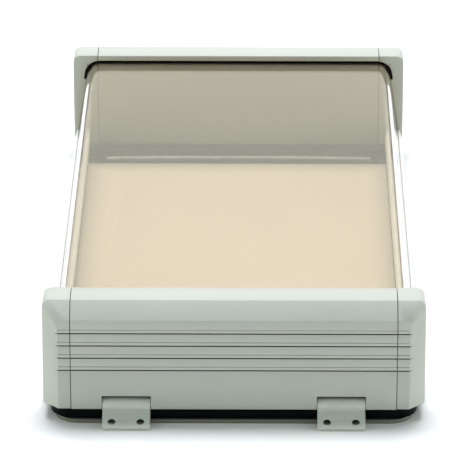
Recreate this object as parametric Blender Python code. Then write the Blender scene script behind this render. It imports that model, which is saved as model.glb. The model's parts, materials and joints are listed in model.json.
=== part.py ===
"""Hinged glazed instrument cover: a clear bent hood between two beveled end bars, on a base board.

Units are metres, +Z is up, X runs along the end bars and Y from the hinges to the locks.
The origin is the middle of the object's footprint.
"""
import math

import bmesh
import bpy
from mathutils import Matrix, Vector

# ---- driving dimensions -------------------------------------------------------------------
bars_width = 0.320            # both end bars, along X
bars_length = 0.660           # outer face to outer face, along Y
bar_height = 0.0932
bar_depth = 0.040
bar_bevel = 0.0133            # 45 degree bevel on the outer face's top and sides
bar_wall = 0.003
bar_corner_radius = 0.0067
seam_past_bend = 0.00126      # seam of bar and end piece, outside the start of the sheet's bend
end_side_wall = 0.006
foot_gap_width = 0.012        # opening along the underside of each bar

board_thickness = 0.003
board_margin = 0.010          # board's side edges, inside the bars' ends
board_corner_radius = 0.020

seal_height = 0.0097
seal_margin = 0.0055          # seal's sides, inside the bars' ends
seal_set_back = 0.001
seal_sweep_gap = 0.0001         # the seal's front toe clears the board by this as the hood opens
seal_band_sides = 0.0095
seal_corner_radius = 0.025

sheet_thickness = 0.003
sheet_drop = 0.0076           # top of the sheet below the top of the bars
sheet_inset = 0.0148          # corner of the sheet, inside the bars' ends
sheet_bend_radius = 0.012
sheet_foot_height = 0.0117    # lower edge of the sheet above the bars' underside
side_lean = math.radians(8.4)
sheet_grip = 0.006            # how far the sheet enters each bar
slot_depth = 0.008
gasket_thickness = 0.0019
gasket_leg = 0.004            # straight part of each gasket below the bends

rail_height = 0.0177
rail_shoulder = 0.0087        # where the rail's outer side starts to slope in
rail_lip = 0.0013
rail_width = 0.013
rail_foot = 0.003
rail_screw_radius = 0.0015
rail_screw_length = 0.014

groove_count = 4
groove_pitch = 0.0111
groove_first_drop = 0.0246    # top of the first slot below the top of the bars
groove_slot_height = 0.0010
groove_slot_depth = 0.0020
groove_line_rise = 0.0025     # lower edge of the fine line above its slot
groove_line_height = 0.0007
groove_line_depth = 0.0005

hinge_inset = 0.070           # middle of each leaf, inside the bars' ends
hinge_axis_in = 0.006         # pin axis behind the front bar's face
hinge_axis_up = 0.0019        # pin axis above the bars' underside
hinge_barrel_radius = 0.0064
hinge_leaf_width = 0.040
hinge_leaf_reach = 0.0247     # pin axis to the leaf's edge
hinge_leaf_thickness = 0.003
hinge_tip_radius = 0.002
hinge_pin_radius = 0.00125
hinge_pin_overhang = 0.007
hinge_hole_radius = 0.0032
hinge_hole_spacing = 0.024
hinge_hole_reach = 0.0178
notch_side_gap = 0.0005
notch_height = 0.0113
bead_depth = 0.0108           # thick lower corner of the bars, drilled for the pins
bead_drop = 0.0015
bead_rise = 0.0068
bead_set_back = 0.002

lock_inset = 0.070            # lock axes, inside the bars' ends
lock_height = 0.035           # lock axis above the ground
lock_head_radius = 0.011
lock_head_thickness = 0.0020
lock_body_radius = 0.0085
lock_body_length = 0.0145
lock_nut_radius = 0.013
lock_nut_thickness = 0.004
lock_core_radius = 0.005
lock_socket_radius = 0.0035
lock_socket_depth = 0.008
cam_thickness = 0.003
cam_width = 0.010
cam_reach = 0.018
cam_screw_radius = 0.0032
cam_screw_length = 0.002

keeper_offset = 0.018         # middle of the keeper beside the lock axis
keeper_width = 0.020
keeper_sheet = 0.002
keeper_depth = 0.008
keeper_clearance = 0.0008     # lip above the locked cam
keeper_pocket_gap = 0.0015
keeper_screw_radius = 0.0015
keeper_screw_head_radius = 0.0028
keeper_screw_head_height = 0.0014
keeper_screw_spacing = 0.010

cleat_length = 0.030
cleat_height = 0.040
cleat_thickness = 0.006

fit_gap = 0.0003
round_steps = 24
arc_steps = 6
cut_over = 0.002              # how far a cutter runs past the face that it opens

# ---- places worked out from the dimensions ------------------------------------------------
half_width = bars_width / 2
board_half_width = half_width - board_margin
seal_half_width = half_width - seal_margin
sheet_top_half_width = half_width - sheet_inset
rail_inner_half_width = half_width - rail_width
hinge_reach = half_width - hinge_inset
lock_reach = half_width - lock_inset
bend_tangent = sheet_bend_radius * math.tan((math.pi / 2 - side_lean) / 2)
bar_bottom = board_thickness + fit_gap + seal_height + fit_gap
bar_top = bar_bottom + bar_height
seam_x = sheet_top_half_width - bend_tangent + seam_past_bend
end_slant = half_width - bar_bevel - bar_wall * math.sqrt(2)    # inside of the side bevel, run to the face
sheet_top = bar_top - sheet_drop
sheet_foot = bar_bottom + sheet_foot_height
gasket_foot = sheet_top - sheet_bend_radius - gasket_leg
slot_floor = sheet_top - sheet_thickness - fit_gap
slot_roof = sheet_top + fit_gap + gasket_thickness + fit_gap

pin_height = bar_bottom + hinge_axis_up
leaf_arm = math.hypot(hinge_leaf_reach, hinge_barrel_radius)
leaf_tilt = math.asin(pin_height / leaf_arm) - math.atan2(hinge_barrel_radius, hinge_leaf_reach)
leaf_tip_out = (
    hinge_leaf_reach * math.cos(leaf_tilt)
    - (hinge_barrel_radius - hinge_leaf_thickness) * math.sin(leaf_tilt)
    - hinge_axis_in
)
front_face = -(leaf_tip_out + bars_length + lock_head_thickness) / 2 + leaf_tip_out
rear_face = front_face + bars_length
pin_y = front_face + hinge_axis_in
inner_front = front_face + bar_depth
inner_rear = rear_face - bar_depth
cam_front = rear_face - bar_wall - lock_body_length - fit_gap - cam_thickness
keeper_lip = lock_height + cam_width / 2 + keeper_clearance


# ---- helpers ------------------------------------------------------------------------------
def clear_scene():
    for item in list(bpy.data.objects):
        bpy.data.objects.remove(item, do_unlink=True)


def material(name, colour, roughness, metallic=0.0, alpha=1.0):
    found = bpy.data.materials.get(name)
    if found:
        return found
    made = bpy.data.materials.new(name)
    made.use_nodes = True
    shader = made.node_tree.nodes["Principled BSDF"]
    shader.inputs["Base Color"].default_value = (*colour, 1.0)
    shader.inputs["Roughness"].default_value = roughness
    shader.inputs["Metallic"].default_value = metallic
    shader.inputs["Alpha"].default_value = alpha
    made.diffuse_color = (*colour, alpha)
    return made


def paint():
    return material("bar_paint", (0.50, 0.54, 0.47), 0.45)


def steel():
    return material("zinc_steel", (0.55, 0.55, 0.54), 0.35, 1.0)


def rubber():
    return material("black_rubber", (0.012, 0.012, 0.014), 0.6)


def pivot(name, location):
    marker = bpy.data.objects.new(name, None)
    marker.location = location
    marker.empty_display_size = 0.02
    bpy.context.collection.objects.link(marker)
    return marker


def make_object(name, mesh_data, finish=None, parent=None):
    """Turn a bmesh in world coordinates into an object whose origin sits on its parent."""
    bmesh.ops.recalc_face_normals(mesh_data, faces=mesh_data.faces)
    if parent:
        bmesh.ops.translate(mesh_data, verts=mesh_data.verts, vec=-parent.location)
    mesh = bpy.data.meshes.new(name)
    mesh_data.to_mesh(mesh)
    mesh_data.free()
    made = bpy.data.objects.new(name, mesh)
    bpy.context.collection.objects.link(made)
    if finish:
        mesh.materials.append(finish)
        mesh.shade_smooth()
        mesh.set_sharp_from_angle(angle=math.radians(30))
    if parent:
        made.parent = parent
    return made


def prism(outline, axis, low, high):
    """Extrude a closed outline along X, Y or Z. It lists (Y, Z), (X, Z) or (X, Y) pairs."""
    order = {"X": lambda a, b, c: (c, a, b), "Y": lambda a, b, c: (a, c, b), "Z": lambda a, b, c: (a, b, c)}
    place = order[axis]
    shape = bmesh.new()
    corners = [shape.verts.new(place(a, b, low)) for a, b in outline]
    face = shape.faces.new(corners)
    grown = bmesh.ops.extrude_face_region(shape, geom=[face])
    moved = [item for item in grown["geom"] if isinstance(item, bmesh.types.BMVert)]
    shift = Vector(place(0.0, 0.0, high - low))
    bmesh.ops.translate(shape, verts=moved, vec=shift)
    return shape


def box(x_range, y_range, z_range):
    (x0, x1), (y0, y1) = x_range, y_range
    return prism([(x0, y0), (x1, y0), (x1, y1), (x0, y1)], "Z", *z_range)


def circle(centre, radius, steps=round_steps, start=0.0):
    turn = 2 * math.pi / steps
    return [
        (centre[0] + radius * math.cos(start + turn * i), centre[1] + radius * math.sin(start + turn * i))
        for i in range(steps)
    ]


def arc(centre, radius, start, end, steps=arc_steps):
    """Points from one angle to another, in degrees, with both ends."""
    points = []
    for i in range(steps + 1):
        angle = math.radians(start + (end - start) * i / steps)
        points.append((centre[0] + radius * math.cos(angle), centre[1] + radius * math.sin(angle)))
    return points


def rounded_rectangle(x0, x1, y0, y1, radius):
    return (
        arc((x1 - radius, y0 + radius), radius, -90, 0)
        + arc((x1 - radius, y1 - radius), radius, 0, 90)
        + arc((x0 + radius, y1 - radius), radius, 90, 180)
        + arc((x0 + radius, y0 + radius), radius, 180, 270)
    )


def cut(body, cutter):
    """Take the cutter's volume out of the body with a Boolean modifier."""
    cutter.hide_render = True
    cutter.display_type = "WIRE"
    modifier = body.modifiers.new("cut_" + cutter.name, "BOOLEAN")
    modifier.operation = "DIFFERENCE"
    modifier.solver = "EXACT"
    modifier.object = cutter


def cutter(name, mesh_data):
    return make_object("cut_" + name, mesh_data)


def facing(end, distance):
    """Y of a place that lies this far behind the outer face of the front or the rear bar."""
    return front_face + distance if end == "front" else rear_face - distance


def sheet_side(height, outward=0.0):
    """X of the sheet's outer side at a height, moved square to the sheet by outward."""
    return sheet_top_half_width + (sheet_top - height) * math.tan(side_lean) + outward / math.cos(side_lean)


def sheet_path(outward, foot):
    """Open path of the sheet's outer side, offset square to it, from the right foot to the left."""
    radius = sheet_bend_radius + outward
    top = sheet_top + outward
    corner_x = sheet_side(top, outward)
    tangent = radius * math.tan((math.pi / 2 - side_lean) / 2)
    centre = (corner_x - tangent, top - radius)
    right = [(sheet_side(foot, outward), foot)]
    right += arc(centre, radius, math.degrees(side_lean), 90)
    return right + [(-x, z) for x, z in reversed(right)]


def sheet_band(low_offset, high_offset, foot):
    """Closed outline between two offsets of the sheet's outer side."""
    return sheet_path(high_offset, foot) + list(reversed(sheet_path(low_offset, foot)))


# ---- base ---------------------------------------------------------------------------------
def make_base_board():
    outline = rounded_rectangle(
        -board_half_width, board_half_width, front_face, rear_face, board_corner_radius
    )
    board = make_object(
        "base_board",
        prism(outline, "Z", 0.0, board_thickness),
        material("fibre_board", (0.61, 0.51, 0.26), 0.7),
    )
    for side in (-1, 1):
        for place in keeper_screw_places(side):
            half_head = keeper_screw_head_height / 2
            top = board_thickness + cut_over
            hole = prism(circle(place, keeper_screw_radius + fit_gap), "Z", half_head, top)
            cut(board, cutter("board_hole", hole))
            sink = prism(
                circle(place, keeper_screw_head_radius + fit_gap),
                "Z",
                -cut_over,
                keeper_screw_head_height + fit_gap,
            )
            cut(board, cutter("board_sink", sink))


def leaf_outline():
    """Side view of a hinge leaf laid flat, with the pin axis at the origin."""
    top = -(hinge_barrel_radius - hinge_leaf_thickness)
    crease = 180 + math.degrees(math.asin(-top / hinge_barrel_radius))
    return (
        [(-hinge_leaf_reach, -hinge_barrel_radius)]
        + arc((0, 0), hinge_barrel_radius, -90, crease, 3 * arc_steps)
        + [(-hinge_leaf_reach, top)]
    )


def lay_leaf(mesh_data, centre_x):
    """Tilt a flat leaf about the pin until its edge meets the ground."""
    turn = Matrix.Rotation(leaf_tilt, 4, "X")
    move = Matrix.Translation((centre_x, pin_y, pin_height))
    bmesh.ops.transform(mesh_data, matrix=move @ turn, verts=mesh_data.verts)
    return mesh_data


def make_hinge_leaf(side, name):
    centre = side * hinge_reach
    shape = prism(leaf_outline(), "X", -hinge_leaf_width / 2, hinge_leaf_width / 2)
    corners = [
        edge
        for edge in shape.edges
        if all(v.co.y < -hinge_leaf_reach + fit_gap for v in edge.verts)
        and abs(edge.verts[0].co.x - edge.verts[1].co.x) < fit_gap
    ]
    bmesh.ops.bevel(shape, geom=corners, offset=hinge_tip_radius, segments=3, profile=0.5, affect="EDGES")
    leaf = make_object(name + "_hinge_leaf", lay_leaf(shape, centre), paint())
    bore = prism(
        circle((0, 0), hinge_pin_radius + fit_gap),
        "X",
        -hinge_leaf_width / 2 - cut_over,
        hinge_leaf_width / 2 + cut_over,
    )
    cut(leaf, cutter(name + "_leaf_bore", lay_leaf(bore, centre)))
    for end in (-1, 1):
        place = (end * hinge_hole_spacing / 2, -hinge_hole_reach)
        hole = prism(circle(place, hinge_hole_radius), "Z", -2 * hinge_barrel_radius, 0.0)
        cut(leaf, cutter(name + "_leaf_hole", lay_leaf(hole, centre)))


def make_hinge_pin(side, name):
    centre = side * hinge_reach
    reach = hinge_leaf_width / 2 + hinge_pin_overhang
    pin = prism(circle((pin_y, pin_height), hinge_pin_radius, 16), "X", centre - reach, centre + reach)
    make_object(name + "_hinge_pin", pin, steel())


def keeper_screw_places(side):
    centre_x = side * (lock_reach + keeper_offset)
    centre_y = cam_front + cam_thickness / 2
    return [(centre_x + end * keeper_screw_spacing / 2, centre_y) for end in (-1, 1)]


def keeper_span():
    """Low and high Y of the keepers, which the locked cams lie inside."""
    middle = cam_front + cam_thickness / 2
    return middle - keeper_depth / 2, middle + keeper_depth / 2


def make_keeper(side, name):
    centre = side * (lock_reach + keeper_offset)
    low_y, high_y = keeper_span()
    foot = board_thickness + fit_gap
    outline = [
        (high_y, foot),
        (high_y, foot + keeper_sheet),
        (low_y + keeper_sheet / 2, foot + keeper_sheet),
        (low_y + keeper_sheet / 2, keeper_lip),
        (high_y, keeper_lip),
        (high_y, keeper_lip + keeper_sheet),
        (low_y - keeper_sheet / 2, keeper_lip + keeper_sheet),
        (low_y - keeper_sheet / 2, foot),
    ]
    shape = prism(outline, "X", centre - keeper_width / 2, centre + keeper_width / 2)
    keeper = make_object(name + "_keeper", shape, steel())
    for number, place in enumerate(keeper_screw_places(side), 1):
        hole = prism(circle(place, keeper_screw_radius + fit_gap), "Z", 0.0, foot + keeper_sheet + cut_over)
        cut(keeper, cutter(name + "_keeper_hole", hole))
        make_keeper_screw(place, f"{name}_keeper_screw_{number}")


def make_keeper_screw(place, name):
    """A flat-headed screw that comes up through the board into the keeper's foot."""
    top = board_thickness + fit_gap + keeper_sheet + fit_gap
    turned = [
        (0.0, 0.0),
        (keeper_screw_head_radius, 0.0),
        (keeper_screw_head_radius, keeper_screw_head_height),
        (keeper_screw_radius, keeper_screw_head_height),
        (keeper_screw_radius, top),
        (0.0, top),
    ]
    make_object(name, turn_about_z(turned, place, 12), steel())


def turn_about_z(profile, place, steps):
    """Spin (radius, height) points, whose ends lie on the axis, into a closed turned solid."""
    shape = bmesh.new()
    rings = []
    for radius, height in profile:
        if radius == 0.0:
            rings.append([shape.verts.new((place[0], place[1], height))])
        else:
            rings.append([shape.verts.new((x, y, height)) for x, y in circle(place, radius, steps)])
    for lower, upper in zip(rings, rings[1:]):
        for i in range(steps):
            j = (i + 1) % steps
            if len(lower) == 1:
                shape.faces.new((lower[0], upper[j], upper[i]))
            elif len(upper) == 1:
                shape.faces.new((lower[i], lower[j], upper[0]))
            else:
                shape.faces.new((lower[i], lower[j], upper[j], upper[i]))
    return shape


# ---- end bars -----------------------------------------------------------------------------
def slot_outline(number):
    """One long slot in the outer face, as (distance behind the face, height) points."""
    top = bar_top - groove_first_drop - number * groove_pitch
    foot = top - groove_slot_height
    return [(0.0, top), (groove_slot_depth, top), (groove_slot_depth, foot), (0.0, foot)]


def line_outline(number):
    """The fine V-shaped line above a slot."""
    foot = bar_top - groove_first_drop - number * groove_pitch + groove_line_rise
    top = foot + groove_line_height
    return [(0.0, top), (groove_line_depth, (foot + top) / 2), (0.0, foot)]


def bar_outline():
    """Cross-section of both bars, as (distance behind the outer face, height) points."""
    wall = bar_wall
    ease = wall * (math.sqrt(2) - 1)
    gap_low = (bar_depth - foot_gap_width) / 2
    gap_high = gap_low + foot_gap_width
    bead_top = bar_bottom + bead_rise
    face = []
    for number in reversed(range(groove_count)):
        face += list(reversed(line_outline(number) + slot_outline(number)))
    return (
        [(0.0, bar_bottom)]
        + face
        + [
            (0.0, bar_top - bar_bevel),
            (bar_bevel, bar_top),
            (bar_depth, bar_top),
            (bar_depth, slot_roof),
            (bar_depth - slot_depth, slot_roof),
            (bar_depth - slot_depth, slot_floor),
            (bar_depth, slot_floor),
            (bar_depth, bar_bottom),
            (gap_high, bar_bottom),
            (gap_high, bar_bottom + wall),
            (bar_depth - wall, bar_bottom + wall),
            (bar_depth - wall, slot_floor - wall),
            (bar_depth - slot_depth - wall, slot_floor - wall),
            (bar_depth - slot_depth - wall, bar_top - wall),
            (bar_bevel + ease, bar_top - wall),
            (wall, bar_top - bar_bevel - ease),
            (wall, bead_top),
            (bead_depth, bead_top),
            (bead_depth, bar_bottom + wall),
            (gap_low, bar_bottom + wall),
            (gap_low, bar_bottom),
            (bead_depth, bar_bottom),
            (bead_depth, bar_bottom - bead_drop),
            (bead_set_back, bar_bottom - bead_drop),
            (bead_set_back, bar_bottom),
        ]
    )


def make_bar(end, hood):
    outline = [(facing(end, distance), height) for distance, height in bar_outline()]
    bar = make_object(end + "_bar", prism(outline, "X", -seam_x, seam_x), paint(), hood)
    if end == "front":
        for side in (-1, 1):
            cut_hinge_notch(bar, side)
    else:
        for side in (-1, 1):
            place = (side * lock_reach, lock_height)
            hole = prism(
                circle(place, lock_body_radius + fit_gap),
                "Y",
                rear_face - bar_wall - cut_over,
                rear_face + cut_over,
            )
            cut(bar, cutter("lock_hole", hole))


def cut_hinge_notch(bar, side):
    centre = side * hinge_reach
    reach = hinge_leaf_width / 2 + notch_side_gap
    gap_low = (bar_depth - foot_gap_width) / 2
    notch = box(
        (centre - reach, centre + reach),
        (front_face - cut_over, front_face + gap_low + fit_gap),
        (bar_bottom - bead_drop - cut_over, bar_bottom + notch_height),
    )
    cut(bar, cutter("hinge_notch", notch))
    reach = hinge_leaf_width / 2 + hinge_pin_overhang + fit_gap
    bore = prism(
        circle((pin_y, pin_height), hinge_pin_radius + fit_gap, 16), "X", centre - reach, centre + reach
    )
    cut(bar, cutter("pin_bore", bore))


def end_block(end, side):
    """Outer form of an end piece: a beveled block with a rounded top outer corner."""
    inner = side * (seam_x + fit_gap)
    outer = side * half_width
    shoulder = side * (half_width - bar_bevel)
    radius = bar_corner_radius
    corner = [
        (side * x, z)
        for x, z in arc((half_width - radius, bar_top - radius), radius, 0, 90)
    ]
    back_loop = [(outer, bar_bottom)] + corner + [(inner, bar_top), (inner, bar_bottom)]
    peak = (shoulder, bar_top - bar_bevel)
    front_loop = [(shoulder, bar_bottom)] + [peak] * len(corner)
    front_loop += [(inner, bar_top - bar_bevel), (inner, bar_bottom)]
    shape = bmesh.new()
    loops = []
    for outline, distance in ((front_loop, 0.0), (back_loop, bar_bevel), (back_loop, bar_depth)):
        loops.append([shape.verts.new((x, facing(end, distance), z)) for x, z in outline])
    count = len(back_loop)
    for near, far in zip(loops, loops[1:]):
        for i in range(count):
            j = (i + 1) % count
            shape.faces.new((near[i], near[j], far[j], far[i]))
    shape.faces.new(loops[0])
    shape.faces.new(loops[-1])
    bmesh.ops.remove_doubles(shape, verts=shape.verts, dist=fit_gap / 100)
    bmesh.ops.dissolve_degenerate(shape, edges=shape.edges, dist=fit_gap / 100)
    return shape


def end_hollow(end, side, near):
    """Plan of an end piece's hollow, which keeps a full wall behind the side bevel."""
    back = bar_depth - slot_depth - bar_wall
    reach = half_width - end_side_wall
    corners = [
        (near, bar_wall),
        (side * (end_slant + bar_wall), bar_wall),
        (side * reach, reach - end_slant),
        (side * reach, back),
        (near, back),
    ]
    return [(x, facing(end, distance)) for x, distance in corners]


def make_end_piece(end, side, name, hood):
    piece = make_object(name + "_end_piece", end_block(end, side), paint(), hood)
    near = side * (seam_x - cut_over)
    hollow = prism(end_hollow(end, side, near), "Z", bar_bottom + bar_wall, slot_floor - bar_wall)
    cut(piece, cutter(name + "_hollow", hollow))
    slot_y = sorted((facing(end, bar_depth - slot_depth), facing(end, bar_depth + cut_over)))
    slot = prism(sheet_band(-sheet_thickness - fit_gap, fit_gap, sheet_foot - fit_gap), "Y", *slot_y)
    cut(piece, cutter(name + "_slot", slot))
    room = prism(sheet_band(0.0, slot_roof - sheet_top, gasket_foot - fit_gap), "Y", *slot_y)
    cut(piece, cutter(name + "_gasket_room", room))
    for number in range(groove_count):
        for outline in (slot_outline(number), line_outline(number)):
            top, foot = outline[0][1], outline[-1][1]
            outline = [(-cut_over, top)] + outline + [(-cut_over, foot)]
            outline = [(facing(end, d), z) for d, z in outline]
            groove = prism(outline, "X", *sorted((near, side * half_width)))
            cut(piece, cutter(f"{name}_groove", groove))
    place = rail_screw_place(side)
    start = bar_depth - slot_depth - bar_wall - cut_over
    screw_y = sorted((facing(end, start), facing(end, bar_depth + cut_over)))
    hole = prism(circle(place, rail_screw_radius + fit_gap, 12), "Y", *screw_y)
    cut(piece, cutter(name + "_rail_hole", hole))


def make_cleat(end, side, name, hood):
    """A flat joining piece that lies across the seam, behind the outer face."""
    outer = end_slant + bar_wall - fit_gap
    span = sorted((side * outer, side * (outer - cleat_length)))
    low = bar_wall + fit_gap
    depth = sorted((facing(end, low), facing(end, low + cleat_thickness)))
    middle = (bar_bottom + slot_floor) / 2
    height = (middle - cleat_height / 2, middle + cleat_height / 2)
    make_object(name + "_cleat", box(span, depth, height), steel(), hood)


# ---- glazing ------------------------------------------------------------------------------
def make_glazing(hood):
    span = (inner_front - sheet_grip, inner_rear + sheet_grip)
    shape = prism(sheet_band(-sheet_thickness, 0.0, sheet_foot), "Y", *span)
    make_object("glazing", shape, material("clear_acrylic", (0.93, 0.92, 0.87), 0.05, 0.0, 0.3), hood)


def make_gasket(end, hood):
    low = bar_depth - slot_depth + fit_gap
    span = sorted((facing(end, low), facing(end, bar_depth)))
    shape = prism(sheet_band(fit_gap, fit_gap + gasket_thickness, gasket_foot), "Y", *span)
    make_object(end + "_gasket", shape, rubber(), hood)


def rail_screw_place(side):
    return (side * (rail_inner_half_width + rail_foot), bar_bottom + rail_foot + rail_screw_radius)


def rail_outline():
    """Cross-section of the right rail: a foot, and a leaning channel for the sheet's lower edge."""
    top = bar_bottom + rail_height
    floor = sheet_foot - fit_gap
    inside = -sheet_thickness - fit_gap
    inner_top = sheet_side(top, inside - rail_lip)
    inner_foot = rail_inner_half_width
    return [
        (half_width, bar_bottom),
        (half_width, bar_bottom + rail_shoulder),
        (sheet_side(top, fit_gap + rail_lip), top),
        (sheet_side(top, fit_gap), top),
        (sheet_side(floor, fit_gap), floor),
        (sheet_side(floor, inside), floor),
        (sheet_side(top, inside), top),
        (inner_top, top),
        (inner_foot, bar_bottom + rail_shoulder),
        (inner_foot, bar_bottom),
    ]


def make_rail(side, name, hood):
    outline = [(side * x, z) for x, z in rail_outline()]
    span = (inner_front + fit_gap, inner_rear - fit_gap)
    rail = make_object(
        name + "_rail",
        prism(outline, "Y", *span),
        material("pale_rail", (0.80, 0.82, 0.79), 0.4),
        hood,
    )
    for end in ("front", "rear"):
        place = rail_screw_place(side)
        start = bar_depth - slot_depth - bar_wall - 2 * fit_gap
        reach = sorted((facing(end, start), facing(end, start + rail_screw_length + slot_depth)))
        bore = prism(circle(place, rail_screw_radius + fit_gap, 12), "Y", *reach)
        cut(rail, cutter(f"{name}_{end}_screw_bore", bore))
        reach = sorted((facing(end, start), facing(end, start + rail_screw_length + slot_depth - fit_gap)))
        screw = prism(circle(place, rail_screw_radius, 12), "Y", *reach)
        make_object(f"{end}_{name}_rail_screw", screw, steel(), hood)


# ---- seal ---------------------------------------------------------------------------------
def make_seal(hood):
    """One rubber ring that closes the gap between the hood and the board."""
    low = board_thickness + fit_gap
    high = low + seal_height
    half = seal_half_width
    y_low = front_face + seal_set_back
    y_high = rear_face - seal_set_back
    outer = rounded_rectangle(-half, half, y_low, y_high, seal_corner_radius)
    seal = make_object("base_seal", prism(outer, "Z", low, high), rubber(), hood)
    inner_half = half - seal_band_sides
    window = rounded_rectangle(-inner_half, inner_half, inner_front, inner_rear, seal_corner_radius / 2)
    cut(seal, cutter("seal_window", prism(window, "Z", low - cut_over, high + cut_over)))
    cut(seal, cutter("toe_relief", toe_relief(low, y_low, half)))
    relief = bead_drop + fit_gap
    for end in ("front", "rear"):
        depth = sorted((facing(end, 0.0), facing(end, bead_depth + fit_gap)))
        channel = box((-seam_x - fit_gap, seam_x + fit_gap), depth, (high - relief, high + cut_over))
        cut(seal, cutter(end + "_bead_channel", channel))
    for side in (-1, 1):
        cut_seal_pockets(seal, side, low, high)


def toe_relief(low, y_low, half):
    """Slope under the seal's front edge, which swings past the board about the hinge pins."""
    swing = pin_height - board_thickness - seal_sweep_gap
    front_z = pin_height - math.sqrt(swing ** 2 - (pin_y - y_low) ** 2)
    foot_y = pin_y - math.sqrt(swing ** 2 - (pin_height - low) ** 2)
    run = (foot_y - y_low) / 4
    rise = (front_z - low) / 4
    corners = [
        (y_low - run, front_z + rise),
        (y_low - run, low - rise),
        (foot_y + run, low - rise),
    ]
    return prism(corners, "X", -half - cut_over, half + cut_over)


def cut_seal_pockets(seal, side, low, high):
    """Room for a hinge barrel at the front and for a keeper at the rear."""
    centre = side * hinge_reach
    reach = hinge_leaf_width / 2 + notch_side_gap
    hinge = box(
        (centre - reach, centre + reach),
        (front_face, pin_y + hinge_barrel_radius + keeper_pocket_gap),
        (low - cut_over, high + cut_over),
    )
    cut(seal, cutter("hinge_pocket", hinge))
    centre = side * (lock_reach + keeper_offset)
    reach = keeper_width / 2 + keeper_pocket_gap
    low_y, high_y = keeper_span()
    keeper = box(
        (centre - reach, centre + reach),
        (low_y - 2 * keeper_pocket_gap, high_y + 2 * keeper_pocket_gap),
        (low - cut_over, high + cut_over),
    )
    cut(seal, cutter("keeper_pocket", keeper))


# ---- locks --------------------------------------------------------------------------------
def make_lock_body(side, name, hood):
    """Housing with a round flange outside the rear bar and a bore for the turning core."""
    place = (side * lock_reach, lock_height)
    head = prism(circle(place, lock_head_radius), "Y", rear_face + fit_gap, rear_face + lock_head_thickness)
    body = make_object(name + "_lock_body", head, steel(), hood)
    shank = prism(
        circle(place, lock_body_radius),
        "Y",
        rear_face - bar_wall - lock_body_length,
        rear_face + lock_head_thickness - fit_gap,
    )
    shank_object = cutter(name + "_shank", shank)
    join = body.modifiers.new("shank", "BOOLEAN")
    join.operation = "UNION"
    join.solver = "EXACT"
    join.object = shank_object
    shank_object.hide_render = True
    shank_object.display_type = "WIRE"
    bore = prism(
        circle(place, lock_core_radius + fit_gap),
        "Y",
        rear_face - bar_wall - lock_body_length - cut_over,
        rear_face + lock_head_thickness + cut_over,
    )
    cut(body, cutter(name + "_lock_bore", bore))


def make_lock_nut(side, name, hood):
    place = (side * lock_reach, lock_height)
    high = rear_face - bar_wall - fit_gap
    nut = make_object(
        name + "_lock_nut",
        prism(circle(place, lock_nut_radius, 6), "Y", high - lock_nut_thickness, high),
        steel(),
        hood,
    )
    bore = circle(place, lock_body_radius + fit_gap)
    cut(nut, cutter(name + "_nut_bore", prism(bore, "Y", high - 2 * lock_nut_thickness, high + cut_over)))


def make_lock_core(side, name, turn):
    """Core with a three-cornered key socket, behind a cam held by a screw."""
    place = (side * lock_reach, lock_height)
    high = rear_face + lock_head_thickness - fit_gap
    low = cam_front + cam_thickness + fit_gap / 2
    core = make_object(
        name + "_lock_core", prism(circle(place, lock_core_radius), "Y", low, high), steel(), turn
    )
    socket = prism(
        circle(place, lock_socket_radius, 3, math.pi / 2), "Y", high - lock_socket_depth, high + cut_over
    )
    cut(core, cutter(name + "_key_socket", socket))


def make_cam(side, name, turn):
    """Flat cam that hangs down when the lock is open."""
    centre_x, centre_z = side * lock_reach, lock_height
    outline = arc((centre_x, centre_z), cam_width / 2, 0, 180)
    outline += [
        (centre_x - cam_width / 2, centre_z - cam_reach),
        (centre_x + cam_width / 2, centre_z - cam_reach),
    ]
    high = cam_front + cam_thickness - fit_gap / 2
    make_object(name + "_lock_cam", prism(outline, "Y", cam_front, high), steel(), turn)
    screw = prism(
        circle((centre_x, centre_z), cam_screw_radius, 6),
        "Y",
        cam_front - fit_gap - cam_screw_length,
        cam_front - fit_gap,
    )
    make_object(name + "_cam_screw", screw, steel(), turn)


# ---- build --------------------------------------------------------------------------------
def main():
    clear_scene()
    hood = pivot("hood_pivot", (0.0, pin_y, pin_height))
    make_base_board()
    for end in ("front", "rear"):
        make_bar(end, hood)
        make_gasket(end, hood)
    make_glazing(hood)
    make_seal(hood)
    for side, side_name in ((-1, "left"), (1, "right")):
        make_hinge_leaf(side, side_name)
        make_hinge_pin(side, side_name)
        make_keeper(side, side_name)
        make_rail(side, side_name, hood)
        for end in ("front", "rear"):
            make_end_piece(end, side, f"{end}_{side_name}", hood)
            make_cleat(end, side, f"{end}_{side_name}", hood)
        turn = pivot(side_name + "_lock_pivot", (side * lock_reach, rear_face, lock_height))
        make_lock_body(side, side_name, hood)
        make_lock_nut(side, side_name, hood)
        make_lock_core(side, side_name, turn)
        make_cam(side, side_name, turn)


main()
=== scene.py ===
"""Looks of a hinged glazed cover: painted end bars, bent clear sheet, black seal and tan board.

Metres, +Z up. The hinges are at the front, towards -Y, and the locks are at the rear.
"""

import json
import math

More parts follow.
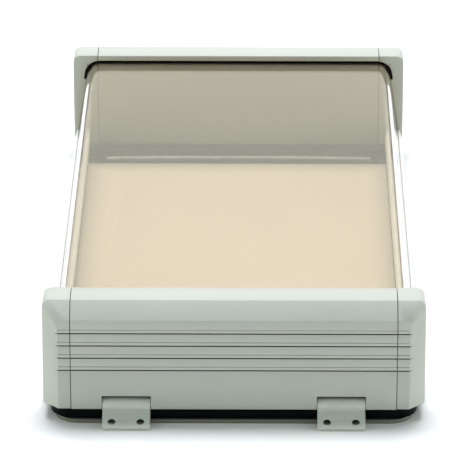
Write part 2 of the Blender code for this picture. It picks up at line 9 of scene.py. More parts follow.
import bmesh
import bpy
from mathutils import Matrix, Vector


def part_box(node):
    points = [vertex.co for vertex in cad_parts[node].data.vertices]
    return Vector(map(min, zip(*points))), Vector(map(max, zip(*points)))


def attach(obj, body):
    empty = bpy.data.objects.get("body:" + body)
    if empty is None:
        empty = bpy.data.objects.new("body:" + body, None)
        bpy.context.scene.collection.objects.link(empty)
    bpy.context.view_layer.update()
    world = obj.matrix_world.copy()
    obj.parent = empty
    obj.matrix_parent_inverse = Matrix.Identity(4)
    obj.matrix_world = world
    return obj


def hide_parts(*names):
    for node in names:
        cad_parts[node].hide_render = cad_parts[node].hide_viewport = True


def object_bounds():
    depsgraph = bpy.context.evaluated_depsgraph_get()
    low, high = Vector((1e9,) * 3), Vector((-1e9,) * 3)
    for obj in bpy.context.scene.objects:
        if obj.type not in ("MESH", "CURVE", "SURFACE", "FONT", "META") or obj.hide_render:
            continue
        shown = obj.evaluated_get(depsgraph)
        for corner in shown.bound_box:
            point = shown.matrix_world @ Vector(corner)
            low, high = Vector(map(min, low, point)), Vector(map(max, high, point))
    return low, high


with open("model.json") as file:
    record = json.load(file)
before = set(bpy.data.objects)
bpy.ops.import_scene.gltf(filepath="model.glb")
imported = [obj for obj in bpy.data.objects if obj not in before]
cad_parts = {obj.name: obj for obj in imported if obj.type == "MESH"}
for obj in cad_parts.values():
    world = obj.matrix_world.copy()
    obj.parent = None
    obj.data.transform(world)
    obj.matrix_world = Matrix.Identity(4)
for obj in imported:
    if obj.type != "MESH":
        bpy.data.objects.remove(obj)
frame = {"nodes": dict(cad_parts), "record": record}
cad_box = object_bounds()

MM = 0.001
slack = 0.01 * MM                # allowance when vertices are picked by their place
weld_distance = 0.001 * MM
flat_angle = math.radians(0.5)   # faces that meet at less than this become one
smooth_angle = math.radians(32)
sharp_angle = 0.6                # in radians
wall_slope = 0.7                 # a face whose normal has a smaller Z than this is a wall

# ---- sizes that the frame's boxes don't give ------------------------------------------------
edge_round = 0.25 * MM           # broken edges of the extruded bars
cast_round = 0.3 * MM            # softer edges of the cast end pieces and moulded parts
rubber_round = 1.2 * MM          # outer edge of the seal
bar_bevel = 13.3 * MM
bar_wall = 3.0 * MM
slots_drop = 24.6 * MM           # top of the bars to the top of the first long slot
slots_span = 34.3 * MM           # that top to the foot of the last slot
sheet_thickness = 3.0 * MM
sheet_bend_radius = 12.0 * MM
sheet_lean = math.radians(8.4)
bend_steps = 18

barrel_radius = 6.4 * MM
leaf_reach = 24.7 * MM           # pin axis to the leaf's edge
leaf_thickness = 3.0 * MM
leaf_fillet = 0.8 * MM           # hollow curve between barrel and plate
leaf_round = 0.35 * MM
leaf_hole_radius = 3.2 * MM
leaf_hole_spacing = 24.0 * MM
leaf_hole_reach = 17.8 * MM
leaf_corner_radius = 2.0 * MM
pin_bore_radius = 1.55 * MM

seal_band = 9.5 * MM             # width of the seal beyond the ends of its lips
window_band = 9.0 * MM           # the window's sides lie further in than this
window_reach = 0.8               # and further out than this part of the seal's half width
seal_window_growth = 1.0117      # widens the window until the seal stops flush with the rails
lip_width = 26.6 * MM            # bar's inner face to the edge of the lip, inside the hood
lip_height = 1.0 * MM
lip_gap = 0.3 * MM
bead_in = 22.4 * MM              # bar's inner face to the middle line of the bead on the lip
bead_end = 16.0 * MM             # end of the lip to the end of the bead
bead_bow = 2.8 * MM              # the bead's ends curve this far towards the middle
bead_steps = 24
bead_round = 0.6 * MM
bead_profile_mm = (              # from that line towards the middle of the hood, and up
    (-4.6, 0), (-3.4, 2.8), (-1.8, 4.6), (-0.8, 4.8), (2.0, 3.0), (3.2, 1.9), (3.6, 0),
)

# ---- where the paint and the board change colour: each pair runs from none to all --------------
slot_shade_start = (0.25 * MM, 0.7 * MM)      # depth behind the face, where the painted shade starts
slot_back = (2.6 * MM, 2.3 * MM)        # depth behind the face, where it stops
slots_margin = (0.6 * MM, 0.3 * MM)     # above the first slot and below the last
flat_margin = (0.1 * MM, -0.2 * MM)     # beyond the flat face between the side bevels
seam_line = (0.42 * MM, 0.28 * MM)      # distance from the middle of a seam
seam_offset = 0.15 * MM                 # end of the bar to the middle of the seam
wall_margin = 0.3 * MM                  # before the inner face
wall_fade = 1.0 * MM                    # at the sheet's top and at the rails
bevel_clearance = (0.2 * MM, 0.8 * MM)
# painted shade on the bars' inner walls under the sheet
wall_shade_colour = "#999A8C"
rim_edge = 2 * MM                       # the painted shade along the board's rim thins out from here
rim_reach = 32 * MM                     # to here, inwards from the board's sides and the rear lip
rim_strength = 0.8
cut_depth = (0.2 * MM, 0.6 * MM)        # below the board's top face
cut_front = (5 * MM, 4 * MM)            # from the board's front edge

# ---- camera ---------------------------------------------------------------------------------
lens_mm = 309.96
lens_shift = (0.003267, -0.007543)
camera_place = (0.02316, -3.44106, 1.43094)
camera_tilt = math.radians(22.0)        # down from level
camera_turn = math.radians(0.392)


# ---- helpers --------------------------------------------------------------------------------
def linear(code):
    """Linear colour from an sRGB hex code."""
    parts = [int(code[i:i + 2], 16) / 255 for i in (1, 3, 5)]
    return (*[p / 12.92 if p <= 0.04045 else ((p + 0.055) / 1.055) ** 2.4 for p in parts], 1.0)


def add_node(tree, kind, settings=None, values=None, links=None):
    """Add a shader node with its options, its socket values and its links."""
    made = tree.nodes.new("ShaderNode" + kind)
    for name, value in (settings or {}).items():
        setattr(made, name, value)
    for socket, value in (values or {}).items():
        made.inputs[socket].default_value = value
    for socket, source in (links or {}).items():
        tree.links.new(source, made.inputs[socket])
    return made


def new_material(name, **constants):
    """A named material: its tree, its shader and the point being shaded, in metres."""
    made = bpy.data.materials.new(name)
    made.use_nodes = True
    tree = made.node_tree
    shader = tree.nodes["Principled BSDF"]
    for socket, value in constants.items():
        shader.inputs[socket.replace("_", " ")].default_value = value
    place = add_node(tree, "TexCoord").outputs["Object"]
    return made, tree, shader, place


def select_only(*objects):
    bpy.ops.object.select_all(action="DESELECT")
    for item in objects:
        item.select_set(True)
    bpy.context.view_layer.objects.active = objects[0]


def start_editing(piece):
    select_only(piece)
    bpy.ops.object.mode_set(mode="EDIT")
    bpy.ops.mesh.select_mode(type="VERT")
    bpy.ops.mesh.select_all(action="DESELECT")


def stop_editing():
    bpy.ops.object.mode_set(mode="OBJECT")


def pick(piece, mode, test):
    """Select the vertices, edges or faces that pass a test, and nothing else."""
    bpy.ops.mesh.select_mode(type=mode)
    bpy.ops.mesh.select_all(action="DESELECT")
    mesh = bmesh.from_edit_mesh(piece.data)
    items = {"VERT": mesh.verts, "EDGE": mesh.edges, "FACE": mesh.faces}[mode]
    for item in items:
        if test(item):
            item.select_set(True)
    bmesh.update_edit_mesh(piece.data)


def apply_modifier(piece, kind, **settings):
    select_only(piece)
    modifier = piece.modifiers.new(kind.lower(), kind)
    for name, value in settings.items():
        setattr(modifier, name, value)
    bpy.ops.object.modifier_apply(modifier=modifier.name)


def round_edges(piece, width, steps=2, angle=smooth_angle):
    apply_modifier(
        piece, "BEVEL", width=width, segments=steps, limit_method="ANGLE",
        angle_limit=angle, harden_normals=False,
    )


def drill(piece, centre, radius, reach, axis="Z", steps=48):
    """Cut a round hole whose middle is at centre."""
    turn = {"X": (0.0, math.pi / 2, 0.0), "Z": (0.0, 0.0, 0.0)}[axis]
    bpy.ops.object.select_all(action="DESELECT")
    bpy.ops.mesh.primitive_cylinder_add(
        vertices=steps, radius=radius, depth=reach, location=centre, rotation=turn
    )
    bit = bpy.context.object
    apply_modifier(piece, "BOOLEAN", operation="DIFFERENCE", solver="EXACT", object=bit)
    bpy.data.objects.remove(bit)


def draw_outline(name, points):
    """Start from one point and draw a closed outline corner by corner, then fill it."""
    bpy.ops.object.select_all(action="DESELECT")
    bpy.ops.mesh.primitive_plane_add(size=MM, location=points[0])
    piece = bpy.context.object
    piece.name = name
    start_editing(piece)
    bpy.ops.mesh.select_all(action="SELECT")
    bpy.ops.mesh.merge(type="CENTER")
    here = Vector(points[0])
    for point in points[1:]:
        step = Vector(point) - here
        bpy.ops.mesh.extrude_region_move(TRANSFORM_OT_translate={"value": step})
        here = Vector(point)
    bpy.ops.mesh.select_all(action="SELECT")
    bpy.ops.mesh.edge_face_add()
    return piece


def extrude_outline(piece, step):
    """Pull the filled outline out into a closed solid."""
    bpy.ops.mesh.select_all(action="SELECT")
    bpy.ops.mesh.extrude_region_move(TRANSFORM_OT_translate={"value": step})
    bpy.ops.mesh.select_all(action="SELECT")
    bpy.ops.mesh.normals_make_consistent(inside=False)
    stop_editing()
    select_only(piece)
    bpy.ops.object.transform_apply(location=True, rotation=True, scale=True)


def arc(centre, radius, start, end, steps):
    """Points from one angle to another, in degrees, with both ends."""
    points = []
    for i in range(steps + 1):
        angle = math.radians(start + (end - start) * i / steps)
        across, up = radius * math.cos(angle), radius * math.sin(angle)
        points.append((centre[0] + across, centre[1] + up))
    return points


def copy_of_node(node, name):
    """A piece that starts as a merged copy of a CAD node."""
    piece = bpy.data.objects.new(name, frame["nodes"][node].data.copy())
    bpy.context.scene.collection.objects.link(piece)
    start_editing(piece)
    bpy.ops.mesh.select_all(action="SELECT")
    bpy.ops.mesh.customdata_custom_splitnormals_clear()
    bpy.ops.mesh.remove_doubles(threshold=weld_distance)
    bpy.ops.mesh.dissolve_limited(angle_limit=flat_angle)
    stop_editing()
    return piece


def another(piece, name, shift, turn=0.0):
    """A copy with its own mesh, turned about the frame's upright axis and then moved."""
    made = piece.copy()
    made.data = piece.data.copy()
    made.name = name
    made.rotation_euler = (0.0, 0.0, turn)
    made.location = shift
    bpy.context.scene.collection.objects.link(made)
    return made


def settle(piece, body, look, nodes=()):
    """Smooth a finished piece, give it its material, and fix it to its body."""
    select_only(piece)
    bpy.ops.object.transform_apply(location=True, rotation=True, scale=True)
    bpy.ops.object.shade_smooth_by_angle(angle=smooth_angle)
    piece.data.materials.clear()
    piece.data.materials.append(look)
    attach(piece, body)
    if nodes:
        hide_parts(*nodes)


# ---- materials ------------------------------------------------------------------------------
def calculate(tree, operation, *terms, clamp=False):
    """Result of one Math node. Each term is a number or a socket."""
    made = add_node(tree, "Math", {"operation": operation, "use_clamp": clamp})
    for i, term in enumerate(terms):
        if isinstance(term, bpy.types.NodeSocket):
            tree.links.new(term, made.inputs[i])
        else:
            made.inputs[i].default_value = term
    return made.outputs[0]


def ramp(tree, source, start, end, low=0.0, high=1.0):
    """Goes from low to high while the source goes from start to end, and stays there."""
    return add_node(
        tree, "MapRange",
        values={"From Min": start, "From Max": end, "To Min": low, "To Max": high},
        links={"Value": source},
    ).outputs[0]


def blend(tree, amount, first, second):
    """Mix of two colours, each a hex code or a socket."""
    made = add_node(tree, "Mix", {"data_type": "RGBA"}, links={0: amount})
    for socket, colour in ((6, first), (7, second)):
        if isinstance(colour, str):
            made.inputs[socket].default_value = linear(colour)
        else:
            tree.links.new(colour, made.inputs[socket])
    return made.outputs[2]


def noise(tree, where, cell_mm, detail, roughness=0.5):
    """Cloudy noise with cells of about the stated size."""
    return add_node(
        tree, "TexNoise",
        values={"Scale": 1 / (cell_mm * MM), "Detail": detail, "Roughness": roughness},
        links={"Vector": where},
    ).outputs["Fac"]


def stretched(tree, where, scale):
    """The same points with each axis scaled, so that a pattern draws out along the small ones."""
    return add_node(tree, "Mapping", values={"Scale": scale}, links={"Vector": where}).outputs[0]


def add_relief(tree, shader, height, strength, depth_mm):
    bump = add_node(
        tree, "Bump", values={"Strength": strength, "Distance": depth_mm * MM},
        links={"Height": height},
    )
    tree.links.new(bump.outputs[0], shader.inputs["Normal"])


def show(tree, shader, colour, gloss):
    tree.links.new(colour, shader.inputs["Base Color"])
    tree.links.new(gloss, shader.inputs["Roughness"])


def slot_shade_and_seam_lines(tree, place):
    """Painted shade on the walls of the long slots, and dark seam lines: 1 there, 0 elsewhere."""
    where = add_node(tree, "SeparateXYZ", links={"Vector": place}).outputs
    out = calculate(tree, "ABSOLUTE", where["Y"])
    aside = calculate(tree, "ABSOLUTE", where["X"])
    low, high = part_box("front_bar")
    face = -low[1]
    slots_top = high[2] - slots_drop
    slots_foot = slots_top - slots_span
    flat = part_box("front_right_end_piece")[1][0] - bar_bevel
    amount = ramp(tree, out, face - slot_shade_start[0], face - slot_shade_start[1])
    for source, start, end in (
        (out, face - slot_back[0], face - slot_back[1]),
        (where["Z"], slots_top + slots_margin[0], slots_top + slots_margin[1]),
        (where["Z"], slots_foot - slots_margin[0], slots_foot - slots_margin[1]),
        (aside, flat + flat_margin[0], flat + flat_margin[1]),
    ):
        amount = calculate(tree, "MULTIPLY", amount, ramp(tree, source, start, end))
    distance = calculate(
        tree, "ABSOLUTE", calculate(tree, "SUBTRACT", aside, high[0] + seam_offset)
    )
    return calculate(tree, "MAXIMUM", amount, ramp(tree, distance, *seam_line))


def wall_shade_under_sheet(tree, place):
    """Painted shade: 1 on the bars' walls under the sheet, which lie in the hood's shade, and 0
    elsewhere.
    """
    where = add_node(tree, "SeparateXYZ", links={"Vector": place}).outputs
    out = calculate(tree, "ABSOLUTE", where["Y"])
    aside = calculate(tree, "ABSOLUTE", where["X"])
    low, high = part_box("front_bar")
    face = -low[1]
    bevel_foot = high[2] - bar_bevel
    sheet_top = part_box("glazing")[1][2]
    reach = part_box("right_rail")[0][0]
    depth = calculate(tree, "SUBTRACT", face + bevel_foot, out)
    past_bevel = calculate(tree, "SUBTRACT", depth, where["Z"])
    amount = ramp(tree, out, face - bar_wall + wall_margin, face - bar_wall)
    for source, start, end in (
        (where["Z"], sheet_top, sheet_top - wall_fade),
        (aside, reach + wall_fade, reach),
        (past_bevel, *bevel_clearance),
    ):
        amount = calculate(tree, "MULTIPLY", amount, ramp(tree, source, start, end))
    return amount


def satin_powder_coat(name, dark, light, peel_mm, low_gloss, high_gloss, slot_shade_and_seam_colour=None):
    """Polyester powder coat, sprayed and baked: even colour, satin, with a shallow orange peel.

    The peel of a real coat is 1 to 2 mm across and is drawn a little wider, so that it shows.
    When a slot colour is given, painted shade darkens the narrow slots and the bars' walls under
    the sheet, and the seams get dark lines.
    """
    made, tree, shader, place = new_material(name, Specular_IOR_Level=0.5, Coat_Weight=0.0)
    peel = noise(tree, place, peel_mm, 1.5)
    grit = noise(tree, place, 0.9, 2.0)
    drift = noise(tree, place, 70, 1.0)
    mottle = calculate(tree, "MULTIPLY_ADD", drift, 0.5, grit, clamp=True)
    colour = blend(tree, ramp(tree, mottle, 0.45, 1.05), dark, light)
    # painted shade on the walls under the sheet and in the long slots, and dark seam lines
    if slot_shade_and_seam_colour:
        colour = blend(tree, wall_shade_under_sheet(tree, place), colour, wall_shade_colour)
        colour = blend(tree, slot_shade_and_seam_lines(tree, place), colour, slot_shade_and_seam_colour)
    show(tree, shader, colour, ramp(tree, drift, 0.3, 0.7, low_gloss, high_gloss))
    add_relief(tree, shader, calculate(tree, "MULTIPLY_ADD", grit, 0.25, peel), 0.25, 0.05)
    return made


def cast_acrylic():
    """Clear cast acrylic with a faint bronze tint: fully glossy, rippled a little by the bending.

    Light from the lamps and light bounced between the parts goes straight through, so that
    what lies under the sheet is lit.
    """
    made, tree, shader, place = new_material(
        "cast_acrylic", Base_Color=linear("#EAE1D3"), Roughness=0.0, IOR=1.49,
        Transmission_Weight=1.0,
    )
    add_relief(tree, shader, noise(tree, place, 90, 0.0), 0.10, 0.3)
    path = add_node(tree, "LightPath").outputs
    passing = calculate(tree, "MAXIMUM", path["Is Shadow Ray"], path["Is Diffuse Ray"])
    clear = add_node(tree, "BsdfTransparent", values={"Color": linear("#F5EFE8")})
    mixed = add_node(
        tree, "MixShader", links={0: passing, 1: shader.outputs[0], 2: clear.outputs[0]}
    )
    tree.links.new(mixed.outputs[0], tree.nodes["Material Output"].inputs["Surface"])
    return made


def moulded_rubber(name, low_gloss, high_gloss, shine):
    """Black EPDM rubber, moulded: close to black, with a faint bluish bloom and a soft sheen."""
    made, tree, shader, place = new_material(name, IOR=1.5, Specular_IOR_Level=shine)
    bloom = noise(tree, place, 9, 3.0)
    colour = blend(tree, bloom, "#020202", "#050507")
    show(tree, shader, colour, ramp(tree, bloom, 0.3, 0.7, low_gloss, high_gloss))
    add_relief(tree, shader, noise(tree, place, 0.8, 2.0), 0.2, 0.04)
    return made


def pressed_fibre_board():
    """Fibre board, pressed smooth: pale beige with short fibres and matt. Painted shade darkens it
    around the rim, on the cut edges and along the front edge under the seal.
    """
    made, tree, shader, place = new_material("pressed_fibre_board", Specular_IOR_Level=0.35)
    along = stretched(tree, place, (1.0, 0.45, 1.0))
    fibre = noise(tree, along, 1.6, 5.0, 0.65)
    patch = noise(tree, place, 45, 2.0)
    fleck = add_node(
        tree, "TexVoronoi", values={"Scale": 1 / (5 * MM)}, links={"Vector": along}
    ).outputs["Distance"]
    body = calculate(tree, "MULTIPLY_ADD", patch, 0.35, fibre, clamp=True)
    colour = blend(tree, ramp(tree, body, 0.4, 0.95), "#C9C3B2", "#D3CDBD")
    colour = blend(tree, ramp(tree, fleck, 0.0, 0.16, 0.35, 0.0), colour, "#B3AA93")

    where = add_node(tree, "SeparateXYZ", links={"Vector": place}).outputs
    low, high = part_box("base_board")
    aside = calculate(tree, "ABSOLUTE", where["X"])
    side_room = calculate(tree, "SUBTRACT", high[0], aside)
    rear_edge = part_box("rear_bar")[0][1] - lip_width
    rear_room = calculate(tree, "SUBTRACT", rear_edge, where["Y"])
    # painted shade near the board's sides and the rear lip, where the walls shade it
    rim_shade = add_node(
        tree, "MapRange", {"interpolation_type": "SMOOTHSTEP"},
        {"From Min": rim_edge, "From Max": rim_reach, "To Min": rim_strength, "To Max": 0.0},
        {"Value": calculate(tree, "MINIMUM", side_room, rear_room)},
    ).outputs[0]
    colour = blend(tree, rim_shade, colour, "#A8A798")
    # painted shade on the cut edges and on the front strip under the seal
    below = ramp(tree, where["Z"], high[2] - cut_depth[0], high[2] - cut_depth[1])
    ahead = ramp(tree, where["Y"], low[1] + cut_front[0], low[1] + cut_front[1])
    colour = blend(tree, calculate(tree, "MAXIMUM", below, ahead), colour, "#7F7E6A")
    show(tree, shader, colour, ramp(tree, fibre, 0.0, 1.0, 0.55, 0.72))
    add_relief(tree, shader, fibre, 0.25, 0.05)
    return made


def extruded_rail():
    """Extruded rail in pale grey: satin, with fine die lines along its length."""
    made, tree, shader, place = new_material("extruded_rail", Specular_IOR_Level=0.5)
    lines = noise(tree, stretched(tree, place, (1.0, 0.01, 1.0)), 1.2, 2.0)
    colour = blend(tree, lines, "#DCE0DA", "#E8ECE6")
    show(tree, shader, colour, ramp(tree, lines, 0.0, 1.0, 0.32, 0.5))
    add_relief(tree, shader, lines, 0.15, 0.03)
    return made


def bright_metal(name, dark, light, cell_mm, low_gloss, high_gloss, scale):
    """Plated steel: metallic, with cloudy patches in the plating and fine lines in its gloss."""
    made, tree, shader, place = new_material(name, Metallic=1.0)
    cloud = noise(tree, place, cell_mm, 3.0)
    lines = noise(tree, stretched(tree, place, scale), 0.7, 2.0)
    colour = blend(tree, cloud, dark, light)
    show(tree, shader, colour, ramp(tree, lines, 0.3, 0.7, low_gloss, high_gloss))
    add_relief(tree, shader, lines, 0.15, 0.02)
    return made


def studio_floor():
    """Plain white painted floor."""
    made, tree, shader, place = new_material(
        "white_floor", Specular_IOR_Level=0.0, Roughness=1.0
    )
    colour = blend(tree, noise(tree, place, 500, 1.0), "#F7F6EF", "#F9F8F1")
    tree.links.new(colour, shader.inputs["Base Color"])
    return made


# 34362C is painted shade in the slots and the colour of the seam lines
bar_paint = satin_powder_coat("satin_powder_coat", "#B6BAAB", "#BEC2B3", 2.4, 0.36, 0.46, "#34362C")
# lighter than the bars' coat: painted light on the leaves, which lie in the bar's shade
hinge_paint_lit_up = satin_powder_coat("lit_up_powder_coat_on_hinges", "#D0D4C4", "#D9DDCD", 1.8, 0.38, 0.5)
# dark colour for the walls of the leaves' holes: painted shade
hole_shade = satin_powder_coat("painted_shade_in_holes", "#2E2F28", "#3A3B33", 1.8, 0.5, 0.62)
acrylic = cast_acrylic()
seal_rubber = moulded_rubber("moulded_rubber", 0.42, 0.55, 0.06)
lip_rubber = moulded_rubber("smooth_lip_rubber", 0.16, 0.24, 0.44)
board_face = pressed_fibre_board()
rail_face = extruded_rail()
zinc = bright_metal("zinc_plated_steel", "#A9ABAA", "#C2C4C2", 4.0, 0.28, 0.42, (1.0, 1.0, 1.0))
chrome = bright_metal("satin_chrome", "#BDBDBE", "#CACACB", 12.0, 0.14, 0.24, (1.0, 0.05, 1.0))


# ---- end bars and end pieces ----------------------------------------------------------------
def make_bars():
    for end in ("front", "rear"):
        bar = copy_of_node(end + "_bar", end + "_bar_profile")
        round_edges(bar, edge_round)
        settle(bar, "hood", bar_paint, [end + "_bar"])
        for side in ("left", "right"):
            node = f"{end}_{side}_end_piece"
            piece = copy_of_node(node, f"{end}_{side}_end_casting")
            round_edges(piece, cast_round)
            settle(piece, "hood", bar_paint, [node])


# ---- hinge leaves ---------------------------------------------------------------------------
def leaf_outline():
    """Side view of a leaf laid flat, as (Y, Z) from the pin axis: barrel, hollow curve, plate."""
    plate_top = leaf_thickness - barrel_radius
    hollow_z = plate_top + leaf_fillet
    hollow_y = -math.sqrt((barrel_radius + leaf_fillet) ** 2 - hollow_z ** 2)
    meet = math.degrees(math.atan2(hollow_z, hollow_y)) % 360
    outline = arc((0.0, 0.0), barrel_radius, -90, meet, 40)
    outline += arc((hollow_y, hollow_z), leaf_fillet, meet - 180, -90, 14)[1:]
    outline += [(-leaf_reach, plate_top), (-leaf_reach, -barrel_radius)]
    return outline


def make_hinge_leaves():
    low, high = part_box("left_hinge_leaf")
    pin = frame["record"]["behaviour"]["joints"][0]["pos_m"]
    foot_angle = math.atan2(barrel_radius, leaf_reach)
    tilt = math.asin(pin[2] / math.hypot(leaf_reach, barrel_radius)) - foot_angle
    points = [(low[0], y, z) for y, z in leaf_outline()]
    leaf = draw_outline("left_hinge_casting", points)
    extrude_outline(leaf, (high[0] - low[0], 0.0, 0.0))
    start_editing(leaf)
    edge = -leaf_reach + slack
    pick(
        leaf, "EDGE",
        lambda e: all(v.co.y < edge for v in e.verts)
        and abs(e.verts[0].co.x - e.verts[1].co.x) < MM,
    )
    bpy.ops.mesh.bevel(offset=leaf_corner_radius, segments=6, affect="EDGES")
    stop_editing()
    middle = (low[0] + high[0]) / 2
    for end in (-1, 1):
        place = (middle + end * leaf_hole_spacing / 2, -leaf_hole_reach, -barrel_radius)
        drill(leaf, place, leaf_hole_radius, 4 * leaf_thickness)
    drill(leaf, (middle, 0.0, 0.0), pin_bore_radius, 2 * (high[0] - low[0]), "X", 32)
    round_edges(leaf, leaf_round, 3, math.radians(40))
    ring = leaf_hole_radius + 10 * slack
    holes = [Vector((middle + end * leaf_hole_spacing / 2, -leaf_hole_reach)) for end in (-1, 1)]
    walls = {
        face.index for face in leaf.data.polygons
        if abs(face.normal.z) < wall_slope
        and any((face.center.xy - hole).length < ring for hole in holes)
    }
    select_only(leaf)
    bpy.ops.object.origin_set(type="ORIGIN_CURSOR")
    leaf.rotation_euler = (tilt, 0.0, 0.0)
    leaf.location = (0.0, pin[1], pin[2])
    bpy.ops.object.transform_apply(location=True, rotation=True, scale=True)
    shift = (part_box("right_hinge_leaf")[0][0] - low[0], 0.0, 0.0)
    twin = another(leaf, "right_hinge_casting", shift)
    for piece, node in ((leaf, "left_hinge_leaf"), (twin, "right_hinge_leaf")):
        settle(piece, "base", hinge_paint_lit_up, [node])
        # the walls of the holes get the painted shade
        piece.data.materials.append(hole_shade)
        start_editing(piece)
        pick(piece, "FACE", lambda f: f.index in walls)
        piece.active_material_index = 1
        bpy.ops.object.material_slot_assign()
        stop_editing()


# ---- clear sheet ----------------------------------------------------------------------------
def sheet_path(low, high, outward):
    """Outer line of the sheet, moved square to it by outward, from the right foot to the left."""
    lean = math.tan(sheet_lean)
    top, foot = high[2], low[2]
    corner = high[0] - (top - foot) * lean

    def across(height):
        return corner + (top - height) * lean + outward / math.cos(sheet_lean)

    radius = sheet_bend_radius + outward
    tangent = radius * math.tan((math.pi / 2 - sheet_lean) / 2)
    centre = (across(top + outward) - tangent, top + outward - radius)
    right = [(across(foot), foot)] + arc(centre, radius, math.degrees(sheet_lean), 90, bend_steps)
    return right + [(-x, z) for x, z in reversed(right)]


def make_sheet():
    low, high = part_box("glazing")
    outline = sheet_path(low, high, 0.0) + list(reversed(sheet_path(low, high, -sheet_thickness)))
    sheet = draw_outline("clear_sheet", [(x, low[1], z) for x, z in outline])
    extrude_outline(sheet, (0.0, high[1] - low[1], 0.0))
    settle(sheet, "hood", acrylic, ["glazing"])


# ---- seal and board -------------------------------------------------------------------------
def make_seal():
    seal = copy_of_node("base_seal", "moulded_seal")
    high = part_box("base_seal")[1]
    inside = (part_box("front_bar")[1][1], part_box("rear_bar")[0][1])
    start_editing(seal)
    pick(
        seal, "VERT",
        lambda v: inside[0] < v.co.y < inside[1]
        and window_reach * high[0] < abs(v.co.x) < high[0] - window_band,
    )
    bpy.ops.transform.resize(
        value=(seal_window_growth, 1.0, 1.0), center_override=(0.0, 0.0, 0.0)
    )
    top = high[2] - slack
    pick(
        seal, "EDGE",
        lambda e: all(v.co.z > top for v in e.verts) and e.calc_face_angle(0.0) > sharp_angle,
    )
    bpy.ops.mesh.bevel(offset=rubber_round, segments=3, affect="EDGES")
    stop_editing()
    round_edges(seal, cast_round)
    settle(seal, "hood", seal_rubber, ["base_seal"])


def make_seal_lips():
    """The seal's flat lip beside each bar, inside the hood, with the long bead that it carries."""
    low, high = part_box("base_seal")
    half = high[0] - seal_band
    foot = low[2] + lip_gap
    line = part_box("rear_bar")[0][1]
    start = line - lip_gap
    stop = line - lip_width
    outline = [(-half, start, foot), (half, start, foot), (half, stop, foot), (-half, stop, foot)]
    lip = draw_outline("rear_seal_lip", outline)
    extrude_outline(lip, (0.0, 0.0, lip_height))
    round_edges(lip, cast_round, 2, math.radians(50))
    bead = make_seal_bead("rear_seal_bead", line - bead_in, foot, half - bead_end)
    shift = (0.0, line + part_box("front_bar")[1][1], 0.0)
    settle(another(lip, "front_seal_lip", shift, math.pi), "hood", seal_rubber)
    settle(another(bead, "front_seal_bead", shift, math.pi), "hood", lip_rubber)
    settle(lip, "hood", seal_rubber)
    settle(bead, "hood", lip_rubber)


def make_seal_bead(name, line, base, reach):
    """Long bead on the lip, with a sloping top, whose ends curve towards the middle of the hood."""
    points = [(-reach, line - a * MM, base + b * MM) for a, b in bead_profile_mm]
    bead = draw_outline(name, points)
    for i in range(bead_steps):
        start, end = (2 * k / bead_steps - 1 for k in (i, i + 1))
        bow = bead_bow * (start ** 4 - end ** 4)
        bpy.ops.mesh.extrude_region_move(
            TRANSFORM_OT_translate={"value": (2 * reach / bead_steps, bow, 0.0)}
        )
    bpy.ops.mesh.select_all(action="SELECT")
    bpy.ops.mesh.normals_make_consistent(inside=False)
    stop_editing()
    select_only(bead)
    bpy.ops.object.transform_apply(location=True, rotation=True, scale=True)
    round_edges(bead, bead_round, 3, math.radians(15))
    return bead


def make_board():
    board = copy_of_node("base_board", "tan_base_board")
    round_edges(board, cast_round)
    settle(board, "base", board_face, ["base_board"])


# ---- small parts kept from the frame or softened ---------------------------------------------
def soften(node, name, body, look, width_mm):
    piece = copy_of_node(node, name)
    round_edges(piece, width_mm * MM)
    settle(piece, body, look, [node])


def make_small_parts():
    for side in ("left", "right"):
        soften(side + "_rail", side + "_foot_rail", "hood", rail_face, 0.3)
        soften(side + "_keeper", side + "_keeper_plate", "base", zinc, 0.5)
        soften(side + "_lock_body", side + "_lock_flange", "hood", chrome, 0.4)
        soften(side + "_lock_nut", side + "_lock_locknut", "hood", zinc, 0.4)
        turn = side + "_lock"
        soften(side + "_lock_core", side + "_lock_key_core", turn, chrome, 0.2)
        soften(side + "_lock_cam", side + "_lock_cam_plate", turn, zinc, 0.3)
        soften(side + "_cam_screw", side + "_cam_hex_screw", turn, zinc, 0.3)
    # gaskets, pins, cleats and screws keep the frame's shape, and only their look changes
    looks = {"black_rubber": seal_rubber, "zinc_steel": zinc, "lock_chrome": chrome}
    for part in frame["record"]["subparts"]:
        item = frame["nodes"][part["node"]]
        look = looks.get(part["material_slot"])
        if look:
            item.data.materials.clear()
            item.data.materials.append(look)


make_bars()
make_hinge_leaves()
make_sheet()
make_seal()
make_seal_lips()
make_board()
make_small_parts()


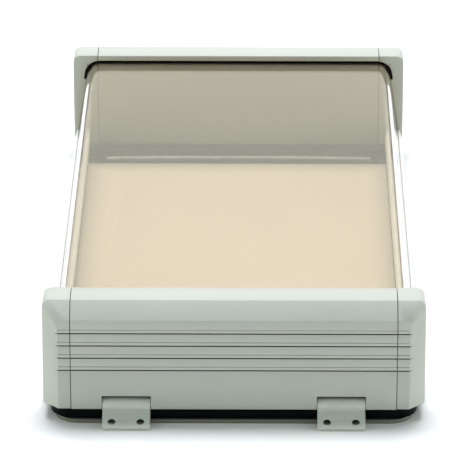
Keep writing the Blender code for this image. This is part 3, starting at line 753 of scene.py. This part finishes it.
# ---- floor, lights and camera ---------------------------------------------------------------
def make_floor():
    bpy.ops.object.select_all(action="DESELECT")
    bpy.ops.mesh.primitive_plane_add(size=14.0, location=(0.0, 2.0, cad_box[0][2]))
    floor = bpy.context.object
    floor.name = "floor"
    floor.data.materials.append(studio_floor())


def add_softbox(name, place, target, width, height, radiance, colour):
    """A softbox that faces its target. Its power gives the stated brightness."""
    light = bpy.data.lights.new(name, "AREA")
    light.shape = "RECTANGLE"
    light.size = width
    light.size_y = height
    light.energy = radiance * math.pi * width * height
    light.color = linear(colour)[:3]
    lamp = bpy.data.objects.new(name, light)
    lamp.location = place
    lamp.rotation_euler = (Vector(target) - Vector(place)).to_track_quat("-Z", "Y").to_euler()
    bpy.context.scene.collection.objects.link(lamp)


def make_lights():
    world = bpy.data.worlds.new("studio")
    world.use_nodes = True
    background = world.node_tree.nodes["Background"]
    background.inputs["Color"].default_value = linear("#D8E7FF")
    background.inputs["Strength"].default_value = 0.27
    bpy.context.scene.world = world
    middle = (0.0, 0.0, 0.05)
    # name, place, target, width, height, brightness, colour
    add_softbox("overhead_softbox", (0.0, 0.68, 3.0), middle, 2.2, 1.4, 13.9, "#F0F1FF")
    add_softbox("rear_softbox", (0.0, 5.0, 2.1), middle, 7.0, 3.2, 1.10, "#FFFFEA")
    add_softbox("left_softbox", (-2.6, -0.9, 1.0), middle, 1.8, 1.8, 2.25, "#F6FFF4")
    add_softbox("right_softbox", (2.6, -0.9, 1.0), middle, 1.8, 1.8, 2.1, "#F6FFF4")


def make_camera():
    """A long lens far in front, which looks down at the cover."""
    lens = bpy.data.cameras.new("camera")
    lens.lens = lens_mm
    lens.sensor_width = 36.0
    lens.shift_x, lens.shift_y = lens_shift
    lens.dof.use_dof = False
    camera = bpy.data.objects.new("camera", lens)
    camera.location = camera_place
    camera.rotation_euler = (math.radians(90) - camera_tilt, 0.0, camera_turn)
    bpy.context.scene.collection.objects.link(camera)
    bpy.context.scene.camera = camera


make_floor()
make_lights()
make_camera()
bpy.context.scene.view_settings.view_transform = "Standard"
